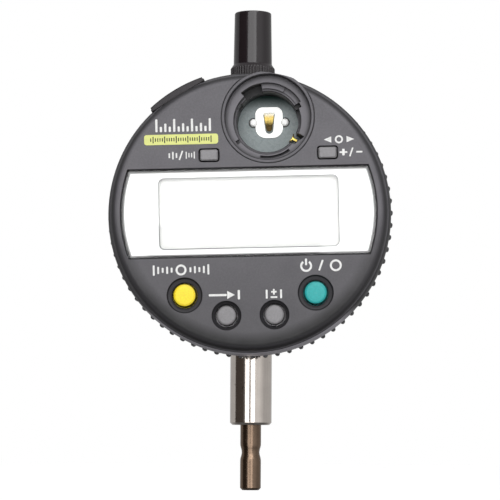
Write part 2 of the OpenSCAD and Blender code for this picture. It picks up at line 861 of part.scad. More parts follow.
module tolerance_button() { round_button(tolerance_spot, small_button_r, "darkgray"); }

// Cover of the data port: a curved cap with round ends on a flat seat, and a plug in the hole
module port_cover() {
    end_r = 0.33;
    end_x = port_seat + end_r;
    end_z = port_l / 2 - end_r;
    edge = [for (i = [-8:8])
        let (z = i / 8 * (port_l / 2 - 0.2))
        [sqrt(port_r * port_r - z * z), z]];
    color("dimgray") on_display() {
        slab(port_front_y, port_back_y)
            rotate(port_angle) {
                polygon(concat([[port_seat, end_z], [port_seat, -end_z]], edge));
                for (side = [-1, 1]) translate([end_x, side * end_z]) circle(end_r, $fn = 32);
            }
        slab(port_front_y + 1.7, port_back_y - 1.4)
            rotate(port_angle) translate([port_seat - 1.4, -5.3]) square([1.4 + eps, 10.6]);
    }
}

// ---- Spindle and what rides on it ----------------------------------------

module spindle() {
    low = -spindle_end_drop;
    waist_z = -53.5;
    waist_half = 1.9;
    waist_cut = 0.35;
    waist = [for (i = [0:10])
        let (a = 360 * i / 10)
        [spindle_r - waist_cut * (1 - cos(a)) / 2, waist_z - waist_half + 2 * waist_half * i / 10]];
    color("rosybrown")
        on_spindle(concat([[0, low + 7], [tap_drill_r, low + 7], [tap_drill_r, low],
                           [spindle_r - 0.5, low], [spindle_r, low + 0.5]],
                          waist,
                          [[spindle_r, spindle_top - 0.4], [spindle_r - 0.4, spindle_top], [0, spindle_top]]));
}

module ring_on_spindle(low, high, tint) {
    color(tint)
        on_spindle([[spindle_r, low], [collar_r, low], [collar_r, high], [spindle_r, high]]);
}

module spring_collar() { ring_on_spindle(spring_seat - 2.5, spring_seat, "goldenrod"); }

module stop_collar() { ring_on_spindle(-20.4, -17.4, "goldenrod"); }

module stop_bumper() { ring_on_spindle(stem_top + gap, -20.4, "black"); }

// Clamp block on the spindle with the plate that carries the scale
module scale_carrier() {
    color("silver")
        difference() {
            union() {
                block([-4.6, 0, -16], [4.6, carrier_y, -6]);
                on_spindle([[0, -16], [collar_r, -16], [collar_r, -6], [0, -6]]);
                block([-6, carrier_y - eps, -21], [6, scale_y, 6]);
            }
            on_spindle([[0, -17], [spindle_r, -17], [spindle_r, -5], [0, -5]]);
            translate([-5, guide_y, body_z + guide_z]) rotate([0, 90, 0]) cylinder(r = guide_r, h = 2.55);
            translate([1.9, guide_y, body_z + guide_z - 1]) rotate([0, 90, 0]) cylinder(r = 0.6, h = 4);
        }
}

module carrier_screw() {
    color("silver")
        translate([0, guide_y, body_z + guide_z - 1])
            difference() {
                union() {
                    translate([2.3, 0, 0]) rotate([0, 90, 0]) cylinder(r = 0.6, h = 2.3 + eps);
                    translate([4.6, 0, 0]) rotate([0, 90, 0]) cylinder(r = 1.1, h = 0.9);
                }
                translate([5.1, -2, -0.15]) cube([1, 4, 0.3]);
            }
}

module linear_scale() {
    color("lightsteelblue") block([-5, scale_y, -20.5], [5, scale_y + 0.6, 5.5]);
}

module guide_pin() {
    color("silver")
        translate([-13.2, guide_y, body_z + guide_z]) rotate([0, 90, 0]) cylinder(r = guide_r, h = 10.75);
}

// ---- Cap over the top of the spindle --------------------------------------

module spindle_cap() {
    ring_r = 5.12;
    ring_top = 35.1;
    base_r = 4.45;
    top_r = 4.25;
    corner = 0.35;
    dome = 0.12;
    corner_z = cap_top_rise - dome - corner;
    flutes = 48;
    flute_r = 0.24;
    corner_arc = [for (i = [0:4])
        let (a = 90 * i / 4)
        [top_r - corner * (1 - cos(a)), corner_z + corner * sin(a)]];
    color([0.1, 0.1, 0.1])
        difference() {
            on_spindle(concat([[bush_neck_r + gap, cap_bottom], [ring_r - 0.3, cap_bottom],
                               [ring_r, cap_bottom + 0.3], [ring_r, ring_top], [base_r + 0.1, ring_top + 0.9],
                               [base_r, ring_top + 0.95]],
                              corner_arc,
                              [[top_r / 2, cap_top_rise - dome / 4], [0, cap_top_rise],
                               [0, cap_top_rise - cap_ceiling_t], [cap_bore_r, cap_top_rise - cap_ceiling_t],
                               [cap_bore_r, cap_bore_low], [bush_neck_r + gap, cap_bore_low]]));
            for (i = [0:flutes - 1])
                rotate(360 * i / flutes)
                    translate([ring_r + 0.06, 0, body_z + cap_bottom - 1])
                        cylinder(r = flute_r, h = ring_top + 2 - cap_bottom, $fn = 16);
        }
}

case_body();
bearing_ring();
dust_seal();
rotation_stop_pin();
back_cover();
back_gasket();
back_cover_screws();
stem();
lower_bush();
spindle_wiper();
upper_bush();
guide_rail();
guide_rail_screws();
encoder_board();
encoder_chip();
encoder_board_screws();
sensor_ribbon();
return_spring();
front_housing();
rear_plate();
rear_plate_screws();
rim_seal();
hub_retainer();
hub_retainer_screws();
window_lens();
window_mask();
lcd_glass();
lcd_reflector();
lcd_holder();
contact_strips();
main_board();
controller_chip();
quartz_crystal();
switch_domes();
battery_insulator();
insulator_posts();
battery_leaf_contact();
battery_side_contact();
data_socket();
data_socket_pins();
face_badge();
display_ribbon();
unit_button();
sign_button();
zero_button();
power_button();
preset_button();
tolerance_button();
port_cover();
spindle();
spring_collar();
stop_collar();
stop_bumper();
scale_carrier();
carrier_screw();
linear_scale();
guide_pin();
spindle_cap();
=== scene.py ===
import json
import math
import bmesh
import bpy
from mathutils import Matrix, Vector


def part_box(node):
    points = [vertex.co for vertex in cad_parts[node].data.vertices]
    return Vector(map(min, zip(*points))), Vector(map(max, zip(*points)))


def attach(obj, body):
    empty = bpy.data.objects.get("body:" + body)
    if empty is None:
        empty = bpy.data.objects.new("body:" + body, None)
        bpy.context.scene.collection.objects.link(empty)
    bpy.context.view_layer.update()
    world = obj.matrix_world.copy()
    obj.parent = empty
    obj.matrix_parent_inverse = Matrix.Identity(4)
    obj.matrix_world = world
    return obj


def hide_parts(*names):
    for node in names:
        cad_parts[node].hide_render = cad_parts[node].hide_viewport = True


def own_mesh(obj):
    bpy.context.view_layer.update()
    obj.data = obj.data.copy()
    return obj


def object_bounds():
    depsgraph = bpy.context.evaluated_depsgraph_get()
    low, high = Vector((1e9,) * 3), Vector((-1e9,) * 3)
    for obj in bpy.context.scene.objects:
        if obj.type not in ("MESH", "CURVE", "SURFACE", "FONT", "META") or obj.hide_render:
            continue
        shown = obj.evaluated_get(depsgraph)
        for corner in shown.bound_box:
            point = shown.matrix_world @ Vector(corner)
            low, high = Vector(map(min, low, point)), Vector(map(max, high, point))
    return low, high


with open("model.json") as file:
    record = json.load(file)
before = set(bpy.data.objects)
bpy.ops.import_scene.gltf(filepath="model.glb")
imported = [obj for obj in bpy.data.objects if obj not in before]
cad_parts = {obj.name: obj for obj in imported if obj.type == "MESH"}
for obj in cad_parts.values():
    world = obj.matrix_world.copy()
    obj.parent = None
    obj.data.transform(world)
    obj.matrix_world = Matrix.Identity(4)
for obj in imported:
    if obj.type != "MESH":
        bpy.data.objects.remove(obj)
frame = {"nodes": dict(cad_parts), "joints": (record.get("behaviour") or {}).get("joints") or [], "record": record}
cad_low, cad_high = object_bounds()

# ---- Reference places, from the frame ------------------------------------

MM = 0.001
LENS_BEHIND_FACE = 0.2 * MM
NODES = frame["nodes"]
JOINTS = {joint["name"]: joint for joint in frame["joints"]}
CENTRE_Z = JOINTS["display_turn"]["pos_m"][2]
FACE_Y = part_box("window_lens")[0].y - LENS_BEHIND_FACE


def middle(node):
    """Centre of a CAD node's box."""
    low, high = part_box(node)
    return (low + high) / 2


LEVEL = middle("power_button") - middle("zero_button")
TURN = math.atan2(LEVEL.z, LEVEL.x)


def turned(x, z):
    """A place on the face in millimetres, turned with the display unit."""
    return x * math.cos(TURN) - z * math.sin(TURN), x * math.sin(TURN) + z * math.cos(TURN)


def on_face(x, z, ahead=0.0):
    """A point at x, z on the turned face and this far ahead of it, all in millimetres."""
    x, z = turned(x, z)
    return Vector((x * MM, FACE_Y - ahead * MM, CENTRE_Z + z * MM))


# ---- Making objects ------------------------------------------------------

def add_object(name, data):
    """A new object in the scene with this data."""
    made = bpy.data.objects.new(name, data)
    bpy.context.scene.collection.objects.link(made)
    return made


def add_mesh(name, work):
    """A new object from a bmesh, which is freed."""
    mesh = bpy.data.meshes.new(name)
    work.to_mesh(mesh)
    work.free()
    return add_object(name, mesh)


def facing_euler(place, target, front):
    """The rotation at a place that points the front axis at a target."""
    return (Vector(target) - Vector(place)).to_track_quat(front, "Y").to_euler()


# ---- Camera --------------------------------------------------------------

CAMERA_PLACE = (22.0 * MM, -559.5 * MM, CENTRE_Z - 52.6 * MM)
CAMERA_TARGET = (0.30 * MM, FACE_Y + 2.0 * MM, CENTRE_Z - 8.40 * MM)
CAMERA_ROLL = math.radians(0.33)
FOCAL_LENGTH = 175.2
SENSOR_WIDTH = 36.0
CLIP_NEAR, CLIP_FAR = 0.01, 50.0


def add_camera():
    """A long lens a little below and to the right of the face."""
    data = bpy.data.cameras.new("camera")
    data.sensor_width = SENSOR_WIDTH
    data.lens = FOCAL_LENGTH
    data.clip_start = CLIP_NEAR
    data.clip_end = CLIP_FAR
    camera = add_object("camera", data)
    camera.location = Vector(CAMERA_PLACE)
    look = (Vector(CAMERA_TARGET) - camera.location).to_track_quat("-Z", "Y")
    roll = Matrix.Rotation(CAMERA_ROLL, 3, "Z")
    camera.rotation_euler = (look.to_matrix() @ roll).to_euler()
    bpy.context.scene.camera = camera


# ---- Material building ---------------------------------------------------

class Surface:
    """One Principled material, with short calls for the nodes that shape it."""

    def __init__(self, name, rough=0.5, metal=0.0):
        self.material = bpy.data.materials.new(name)
        self.material.use_nodes = True
        self.tree = self.material.node_tree
        self.shader = self.tree.nodes["Principled BSDF"]
        self.shader.inputs["Metallic"].default_value = metal
        self.shader.inputs["Roughness"].default_value = rough
        self.place = self.add("ShaderNodeTexCoord").outputs["Object"]

    def add(self, kind, **settings):
        node = self.tree.nodes.new(kind)
        for key, value in settings.items():
            setattr(node, key, value)
        return node

    def put(self, socket, value):
        """Links a socket, or sets a plain value."""
        if isinstance(value, bpy.types.NodeSocket):
            self.tree.links.new(value, socket)
        elif hasattr(socket.default_value, "__len__") and len(socket.default_value) == 4:
            socket.default_value = (*value[:3], 1.0)
        else:
            socket.default_value = value

    def math(self, operation, first, second=0.0):
        node = self.add("ShaderNodeMath", operation=operation)
        self.put(node.inputs[0], first)
        self.put(node.inputs[1], second)
        return node.outputs[0]

    def mix(self, share, first, second):
        """Blend of two colours."""
        node = self.add("ShaderNodeMix", data_type="RGBA")
        self.put(node.inputs["Factor"], share)
        self.put(node.inputs["A"], first)
        self.put(node.inputs["B"], second)
        return node.outputs["Result"]

    def spread(self, value, low, high, start=0.0, end=1.0):
        """Maps low..high of a value onto start..end, clamped."""
        node = self.add("ShaderNodeMapRange")
        self.put(node.inputs["Value"], value)
        ends = {"From Min": low, "From Max": high, "To Min": start, "To Max": end}
        for key, number in ends.items():
            node.inputs[key].default_value = number
        return node.outputs["Result"]

    def both(self, first, second):
        """1 only where both masks are 1."""
        return self.math("MULTIPLY", first, second)

    def stretched(self, x, y, z):
        """The place on the surface, scaled by three factors."""
        node = self.add("ShaderNodeVectorMath", operation="MULTIPLY")
        self.put(node.inputs[0], self.place)
        node.inputs[1].default_value = (x, y, z)
        return node.outputs[0]

    def noise(self, size_mm, detail=3.0, rough=0.55, place=None):
        """Soft random pattern with features of about this size."""
        node = self.add("ShaderNodeTexNoise")
        self.put(node.inputs["Vector"], place or self.place)
        node.inputs["Scale"].default_value = 1.0 / (size_mm * MM)
        node.inputs["Detail"].default_value = detail
        node.inputs["Roughness"].default_value = rough
        return node.outputs["Fac"]

    def cells(self, size_mm):
        """Distance to random points about this far apart."""
        node = self.add("ShaderNodeTexVoronoi")
        self.put(node.inputs["Vector"], self.place)
        node.inputs["Scale"].default_value = 1.0 / (size_mm * MM)
        return node.outputs["Distance"]

    def bands(self, direction, scale, distortion=0.0):
        """Parallel waves in a direction, wandering by the distortion."""
        node = self.add("ShaderNodeTexWave", wave_type="BANDS", bands_direction=direction)
        self.put(node.inputs["Vector"], self.place)
        node.inputs["Scale"].default_value = scale
        node.inputs["Distortion"].default_value = distortion
        node.inputs["Detail"].default_value = 1.0
        return node.outputs["Fac"]

    def geometry(self, output):
        return self.add("ShaderNodeNewGeometry").outputs[output]

    def axis(self, vector, letter):
        """One coordinate of a vector."""
        node = self.add("ShaderNodeSeparateXYZ")
        self.put(node.inputs[0], vector)
        return node.outputs[letter]

    def edges(self, radius_mm):
        """Mask that is 1 along sharp edges, and the rounded normal there."""
        bevel = self.add("ShaderNodeBevel", samples=6)
        bevel.inputs["Radius"].default_value = radius_mm * MM
        dot = self.add("ShaderNodeVectorMath", operation="DOT_PRODUCT")
        self.put(dot.inputs[0], bevel.outputs["Normal"])
        self.put(dot.inputs[1], self.geometry("Normal"))
        return self.spread(dot.outputs["Value"], 0.995, 0.86), bevel.outputs["Normal"]

    def crevice(self, reach_mm):
        """1 in tight corners of the same piece, 0 in the open."""
        node = self.add("ShaderNodeAmbientOcclusion", samples=8, only_local=True)
        node.inputs["Distance"].default_value = reach_mm * MM
        return self.spread(node.outputs["AO"], 0.90, 0.50)

    def facing(self):
        """1 where the surface looks out of the front, 0 where it looks sideways."""
        return self.math("MULTIPLY", self.axis(self.geometry("Normal"), "Y"), -1.0)

    def depth(self):
        """How far a place lies behind the face, in millimetres."""
        behind = self.math("SUBTRACT", self.axis(self.geometry("Position"), "Y"), FACE_Y)
        return self.math("MULTIPLY", behind, 1.0 / MM)

    def height(self):
        """How far a place lies above the face centre in the part's own frame, in metres."""
        return self.math("SUBTRACT", self.axis(self.place, "Z"), CENTRE_Z)

    def radius(self):
        """How far a place lies from the axis through the face centre, in metres."""
        across = self.add("ShaderNodeVectorMath", operation="MULTIPLY_ADD")
        self.put(across.inputs[0], self.place)
        across.inputs[1].default_value = (1.0, 0.0, 1.0)
        across.inputs[2].default_value = (0.0, 0.0, -CENTRE_Z)
        length = self.add("ShaderNodeVectorMath", operation="LENGTH")
        self.put(length.inputs[0], across.outputs["Vector"])
        return length.outputs["Value"]

    def bump(self, height, depth_mm, normal=None):
        """The normal of a surface with this relief, on top of another normal."""
        node = self.add("ShaderNodeBump")
        node.inputs["Strength"].default_value = 1.0
        node.inputs["Distance"].default_value = depth_mm * MM
        self.put(node.inputs["Height"], height)
        if normal is not None:
            self.put(node.inputs["Normal"], normal)
        return node.outputs["Normal"]

    def finish(self, colour=None, rough=None, normal=None, **constants):
        """Feeds the shader, and sets what is the same all over."""
        for key, value in (("Base Color", colour), ("Roughness", rough), ("Normal", normal)):
            if value is not None:
                self.put(self.shader.inputs[key], value)
        for key, value in constants.items():
            self.put(self.shader.inputs[key.replace("_", " ")], value)
        return self.material


def shade(colour, factor):
    """The same colour, lighter or darker."""
    return tuple(min(1.0, channel * factor) for channel in colour)


# ---- Kinds of material ---------------------------------------------------

# The part of a soft noise's range where most of its values lie
NOISE = (0.3, 0.7)

# Where a change of tone on the housing starts and where it is complete: painted shade low on the
# face and rim, in grooves, in the battery bay and on walls facing sideways, painted light under the
# front rim, and a lighter recess floor. Depths are millimetres behind the face, heights metres above
# its centre, radii metres from its axis.
LOW_SHADE_HEIGHTS = (-0.030, 0.002)
LOW_RIM_SHADE_RADII = (0.0268, 0.0290)
LOW_RIM_SHADE_HEIGHTS = (0.0, -0.022)
GROOVE_SHADE_DEPTHS = (0.12, 0.4)
RECESS_DEPTHS = (1.7, 1.85)
UNDER_LIGHT_DEPTHS = (2.3, 2.6)
UNDER_LIGHT_HEIGHTS = (-0.020, -0.024)
BAY_SHADOW_DEPTHS = (3.7, 4.4)
BAY_SHADOW_HEIGHTS = (0.019, 0.024)
FRONT_FACING = (0.62, 0.99)

# The tone there, as a factor on the material's own colour; the speck and worn tones are the
# plastic's own, the others are painted shade and painted light
LOW_SHADE_TONE = 0.40
LOW_RIM_SHADE_TONE = 0.12
CORNER_SHADE_TONE = 0.08
BAY_SHADOW_TONE = 0.15
UNDER_LIGHT_TONE = 4.6
SPECK_TONE = 1.6
WORN_TONE = 2.2

# Heights over which painted shadow darkens the top of the circuit board, and the shadow's colour
BOARD_SHADOW_HEIGHTS = (0.0240, 0.0272)
BOARD_SHADOW_COLOUR = (0.006, 0.022, 0.017)

# Depths at which the battery contact goes from a dark painted reflection to gold, to a pale
# painted reflection, and to bright patches of painted highlight
DARK_REFLECTION_TO_GOLD_DEPTHS = (9.3, 9.65)
PALE_REFLECTION_DEPTHS = (9.75, 10.05)
SHINE_DEPTHS = (8.7, 8.2)

# Stretch of the turning marks: rings round the spindle axis, or drawn lines along it
AROUND_Z = (0.02, 0.02, 1.0)
ALONG_Z = (1.0, 1.0, 0.02)


def moulded(name, colour, rough=0.42, grain=0.12, depth=0.006, wear=0.35, variation=0.08,
            specular=0.5, side=1.0, groove=1.0, recess=1.0, edge_mm=0.22, outline=1.0,
            dull_corners=False):
    """Moulded plastic: fine spark-eroded grain, faint mottling, smudges and worn edges.

    side, groove, recess and outline are tones for walls, shallow grooves, the floor of a recess
    and edges; the side and groove tones are painted shade. A groove also brings painted shade
    that darkens the lower face and its rim. A side also brings painted shade in corners, painted
    shadow on the upper wall of the battery bay, and painted light on the wall under the front rim.
    """
    s = Surface(name)
    worn, rounded = s.edges(edge_mm)
    scuffed = s.both(worn, s.spread(s.noise(1.6), 0.40, 0.66, 0.15, wear))
    mottle = s.spread(s.noise(7.0, 4.0), *NOISE)
    base = s.mix(mottle, shade(colour, 1 - variation), shade(colour, 1 + variation))
    speck = s.spread(s.noise(grain * 3.0, 2.0), 0.35, 0.7)
    base = s.mix(s.math("MULTIPLY", speck, 0.30), base, shade(colour, SPECK_TONE))
    base = s.mix(scuffed, base, shade(colour, WORN_TONE))
    if groove != 1.0:
        # Painted shade: the face darker towards the bottom, as if lit from above.
        painted_low_shade = s.spread(s.height(), *LOW_SHADE_HEIGHTS, 0.60, 0.0)
        base = s.mix(painted_low_shade, base, shade(colour, LOW_SHADE_TONE))
        # Painted shade on the lower part of the rim.
        painted_rim_shade = s.both(s.spread(s.radius(), *LOW_RIM_SHADE_RADII),
                         s.spread(s.height(), *LOW_RIM_SHADE_HEIGHTS))
        base = s.mix(painted_rim_shade, base, shade(colour, LOW_RIM_SHADE_TONE))
        # Painted shade in shallow grooves and wells.
        base = s.mix(s.spread(s.depth(), *GROOVE_SHADE_DEPTHS), base, shade(colour, groove))
        base = s.mix(s.spread(s.depth(), *RECESS_DEPTHS), base, shade(colour, recess))
    if side != 1.0:
        # Painted shade in tight corners.
        corner = s.math("MULTIPLY", s.crevice(1.3), 0.65)
        base = s.mix(corner, base, shade(colour, CORNER_SHADE_TONE))
        # Painted shadow on the upper wall of the battery bay.
        bay = s.both(s.spread(s.depth(), *BAY_SHADOW_DEPTHS), s.spread(s.height(), *BAY_SHADOW_HEIGHTS))
        base = s.mix(bay, base, shade(colour, BAY_SHADOW_TONE))
        # Painted light on the wall under the lower front rim.
        under = s.both(s.spread(s.depth(), *UNDER_LIGHT_DEPTHS), s.spread(s.height(), *UNDER_LIGHT_HEIGHTS))
        base = s.mix(under, base, shade(colour, UNDER_LIGHT_TONE))
        # Painted shade: walls that face sideways are darker than the front, except where painted light lies under
        # the rim.
        front = s.math("MAXIMUM", s.spread(s.facing(), *FRONT_FACING), under)
        base = s.mix(front, shade(colour, side), base)
    if outline != 1.0:
        base = s.mix(worn, base, shade(colour, outline))
    if dull_corners:
        specular = s.spread(s.crevice(0.7), 0.0, 1.0, specular, 0.0)
    smudge = s.spread(s.noise(4.5, 4.0, 0.65), 0.3, 0.72, rough - 0.06, rough + 0.08)
    roughness = s.math("SUBTRACT", smudge, s.math("MULTIPLY", scuffed, 0.12))
    pits = s.math("MULTIPLY", s.cells(grain * 1.6), 0.6)
    relief = s.math("ADD", s.noise(grain, 2.0), pits)
    return s.finish(base, roughness, s.bump(relief, depth, rounded), Specular_IOR_Level=specular)


def turned_metal(name, colour, rough=0.2, rings=0.05, depth=0.0015, along=(1.0, 1.0, 1.0),
                 tint=0.06, flecks=0.0):
    """Machined metal: fine marks, faint stain, handling scratches and sometimes dark flecks."""
    s = Surface(name, rough, 1.0)
    marks = s.noise(rings, 2.0, 0.6, s.stretched(*along))
    stain = s.spread(s.noise(3.0, 4.0, 0.6), 0.3, 0.72)
    base = s.mix(stain, shade(colour, 1 - tint), shade(colour, 1 + tint))
    base = s.mix(s.spread(marks, 0.35, 0.75, 0.0, 0.25), base, shade(colour, 0.7))
    scratch = s.spread(s.noise(0.5, 2.0, 0.5, s.stretched(1.0, 0.12, 1.0)), 0.66, 0.72)
    ground = s.spread(marks, 0.3, 0.75, rough - 0.04, rough + 0.06)
    roughness = s.math("ADD", ground, s.math("MULTIPLY", scratch, 0.15))
    worn, rounded = s.edges(0.15)
    base = s.mix(s.math("MULTIPLY", worn, 0.4), base, shade(colour, 1.3))
    if flecks > 0.0:
        fleck = s.spread(s.noise(1.3, 2.0), 0.71, 0.76, 0.0, flecks)
        base = s.mix(fleck, base, (0.11, 0.07, 0.05))
    return s.finish(base, roughness, s.bump(marks, depth, rounded))


def film(name, colour, rough=0.3, size=2.0, variation=0.05, coat=0.0, glow=0.0):
    """Smooth film, label or print with slight unevenness. The glow is painted light that keeps it white in the
    shaded bay.
    """
    s = Surface(name)
    uneven = s.spread(s.noise(size, 3.0), *NOISE)
    base = s.mix(uneven, shade(colour, 1 - variation), shade(colour, 1 + variation))
    fine = s.noise(0.15, 2.0)
    base = s.mix(s.spread(fine, 0.4, 0.8, 0.0, 0.2), base, shade(colour, 0.82))
    roughness = s.spread(s.noise(size * 0.6, 3.0), *NOISE, rough - 0.05, rough + 0.07)
    return s.finish(base, roughness, s.bump(fine, 0.002), Coat_Weight=coat,
                    Emission_Color=(1.0, 1.0, 0.97), Emission_Strength=glow)


def rubber(name, colour, rough=0.8):
    """Matt rubber with a little dust."""
    s = Surface(name)
    dusty = s.spread(s.noise(1.2, 4.0), 0.45, 0.75, 0.0, 0.35)
    base = s.mix(dusty, colour, shade(colour, 3.0))
    roughness = s.spread(s.noise(0.6), *NOISE, rough - 0.1, rough + 0.08)
    return s.finish(base, roughness, s.bump(s.noise(0.2, 3.0), 0.01))


def glass(name, tint):
    """Clear window with faint smears."""
    s = Surface(name)
    smear = s.spread(s.noise(6.0, 4.0, 0.6), 0.35, 0.75, 0.01, 0.05)
    base = s.mix(s.spread(s.noise(9.0, 2.0), *NOISE), shade(tint, 0.985), tint)
    relief = s.bump(s.noise(12.0, 1.0), 0.004)
    return s.finish(base, smear, relief, Transmission_Weight=1.0, IOR=1.49)


def circuit(name, colour):
    """Solder resist over copper: tracks seen as faint lighter lines, with painted shadow darkening it towards the
    top.
    """
    s = Surface(name)
    tracks = s.spread(s.bands("DIAGONAL", 420.0, 3.0), 0.62, 0.7)
    base = s.mix(s.math("MULTIPLY", tracks, 0.10), colour, shade(colour, 1.45))
    base = s.mix(s.spread(s.noise(1.5, 3.0), 0.35, 0.75, 0.0, 0.2), base, shade(colour, 0.75))
    # Painted shadow: the board turns dark towards the top, and its reflections fade out there too.
    base = s.mix(s.spread(s.height(), *BOARD_SHADOW_HEIGHTS, 0.0, 0.95), base, BOARD_SHADOW_COLOUR)
    roughness = s.spread(s.noise(0.8), *NOISE, 0.22, 0.36)
    shine = s.spread(s.height(), *BOARD_SHADOW_HEIGHTS, 0.5, 0.0)
    return s.finish(base, roughness, s.bump(tracks, 0.02), Specular_IOR_Level=shine)


def ruled_glass(name):
    """Glass scale with fine cross lines along its length."""
    s = Surface(name)
    lines = s.spread(s.bands("Z", 640.0), 0.45, 0.55)
    base = s.mix(lines, (0.55, 0.62, 0.66), (0.16, 0.2, 0.23))
    return s.finish(base, s.spread(s.noise(2.0), *NOISE, 0.08, 0.18), s.bump(lines, 0.004))


def contact_gold(name):
    """Gold plate with painted reflections: pale where it lies deep, dark brown further up, with painted highlights
    in patches at the top and painted shadow along its edges.
    """
    s = Surface(name, 0.3, 0.85)
    level = s.math("ADD", s.depth(), s.math("MULTIPLY", s.noise(0.5), 0.3))
    # Painted reflections: dark brown nearer the face, gold between, and pale white where the contact lies deep.
    base = s.mix(s.spread(level, *DARK_REFLECTION_TO_GOLD_DEPTHS), (0.035, 0.022, 0.004), (0.62, 0.46, 0.13))
    base = s.mix(s.spread(level, *PALE_REFLECTION_DEPTHS), base, (1.0, 1.0, 0.92))
    stain = s.spread(s.noise(0.4, 4.0), 0.55, 0.7, 0.0, 0.25)
    base = s.mix(stain, base, (0.20, 0.12, 0.04))
    # Painted highlights in bright patches near the top.
    painted_highlight_patch = s.spread(s.noise(0.9, 2.0), 0.46, 0.56)
    base = s.mix(s.both(painted_highlight_patch, s.spread(s.depth(), *SHINE_DEPTHS)), base, (0.90, 0.68, 0.16))
    # Painted shadow along the edges.
    base = s.mix(s.edges(0.2)[0], base, (0.03, 0.02, 0.005))
    return s.finish(base, s.spread(s.noise(0.3), *NOISE, 0.22, 0.4), s.bump(s.noise(0.2), 0.003))


# ---- Materials, by their slots in the record -----------------------------

MAKERS = {
    "housing_plastic": (moulded, (0.098, 0.094, 0.104), dict(
        rough=0.5, specular=0.4, side=0.25, groove=0.6, recess=1.5)),
    "rim_plastic": (moulded, (0.030, 0.029, 0.031), dict(rough=0.40, wear=0.2)),
    "cover_plastic": (moulded, (0.048, 0.045, 0.048), dict(
        rough=0.5, specular=0.12, side=0.1, edge_mm=0.5, outline=0.03)),
    "case_plastic": (moulded, (0.100, 0.098, 0.104), dict(rough=0.45)),
    "cap_plastic": (moulded, (0.013, 0.009, 0.011), dict(
        rough=0.13, depth=0.0004, wear=0.15, specular=0.65, dull_corners=True)),
    "chip_plastic": (moulded, (0.018, 0.018, 0.019), dict(rough=0.5)),
    "grey_button": (moulded, (0.198, 0.192, 0.200), dict(rough=0.45, wear=0.15, side=0.35)),
    "yellow_button": (moulded, (0.87, 0.64, 0.010), dict(
        rough=0.4, depth=0.002, wear=0.0, variation=0.03, side=0.14)),
    "teal_button": (moulded, (0.004, 0.32, 0.315), dict(
        rough=0.4, depth=0.002, wear=0.0, variation=0.04, side=0.3)),
    "bronze": (turned_metal, (0.62, 0.42, 0.22), dict(rough=0.3, along=AROUND_Z)),
    "hard_steel": (turned_metal, (0.62, 0.62, 0.63), dict(rough=0.28)),
    "screw_steel": (turned_metal, (0.66, 0.65, 0.63), dict(rough=0.22)),
    "spring_steel": (turned_metal, (0.5, 0.5, 0.5), dict(rough=0.25)),
    "stem_steel": (turned_metal, (0.68, 0.62, 0.57), dict(
        rough=0.10, rings=0.25, along=ALONG_Z, depth=0.0003, flecks=0.8)),
    "spindle_steel": (turned_metal, (0.200, 0.140, 0.100), dict(
        rough=0.24, rings=0.3, along=ALONG_Z, tint=0.12, depth=0.0001)),
    "flex_film": (film, (0.55, 0.27, 0.05), dict(rough=0.25)),
    "white_mask": (film, (0.95, 0.95, 0.95), dict(rough=0.4, variation=0.01)),
    "symbol_ink": (film, (0.70, 0.70, 0.69), dict(rough=0.5, size=0.6, variation=0.12)),
    "lcd_panel": (film, (0.94, 0.94, 0.93), dict(rough=0.3, variation=0.01, coat=0.2)),
    "white_plastic": (film, (0.96, 0.96, 0.95), dict(
        rough=0.25, variation=0.01, coat=0.3, glow=0.10)),
    "white_film": (film, (0.97, 0.97, 0.95), dict(rough=0.3, variation=0.01, glow=0.38)),
    "badge_label": (film, (0.64, 0.67, 0.20), dict(rough=0.35, variation=0.04)),
    "seal_rubber": (rubber, (0.018, 0.018, 0.018), {}),
    "circuit_board": (circuit, (0.23, 0.27, 0.275), {}),
    "clear_lens": (glass, (0.97, 0.975, 0.97), {}),
}
MATERIALS = {slot: make(slot, colour, **settings)
             for slot, (make, colour, settings) in MAKERS.items()}
MATERIALS["gold_contact"] = contact_gold("gold_contact")
MATERIALS["scale_glass"] = ruled_glass("scale_glass")

LENS_EDGE_MM = 0.08
COVER_EDGE_MM = 0.3


def soften(node, width_mm, segments):
    """Rounds the sharp edges of a CAD node with modifiers."""
    piece = NODES[node]
    piece.modifiers.new("weld", "WELD").merge_threshold = 0.001 * MM
    edge = piece.modifiers.new("edge", "BEVEL")
    edge.width = width_mm * MM
    edge.segments = segments
    edge.limit_method = "ANGLE"
    edge.angle_limit = math.radians(50)


def dress_nodes():
    """Gives every CAD node the material of its slot in the record."""
    for part in frame["record"]["subparts"]:
        node = NODES[part["node"]]
        node.data.materials.clear()
        node.data.materials.append(MATERIALS[part["material_slot"]])
    NODES["window_lens"].visible_shadow = False
    soften("window_lens", LENS_EDGE_MM, 1)
    soften("port_cover", COVER_EDGE_MM, 3)


# ---- Return spring -------------------------------------------------------

SPRING_TURNS = 8
SPRING_WIRE_R = 0.16 * MM
SPRING_STEPS = 24 * SPRING_TURNS
SPRING_SIDES = 8


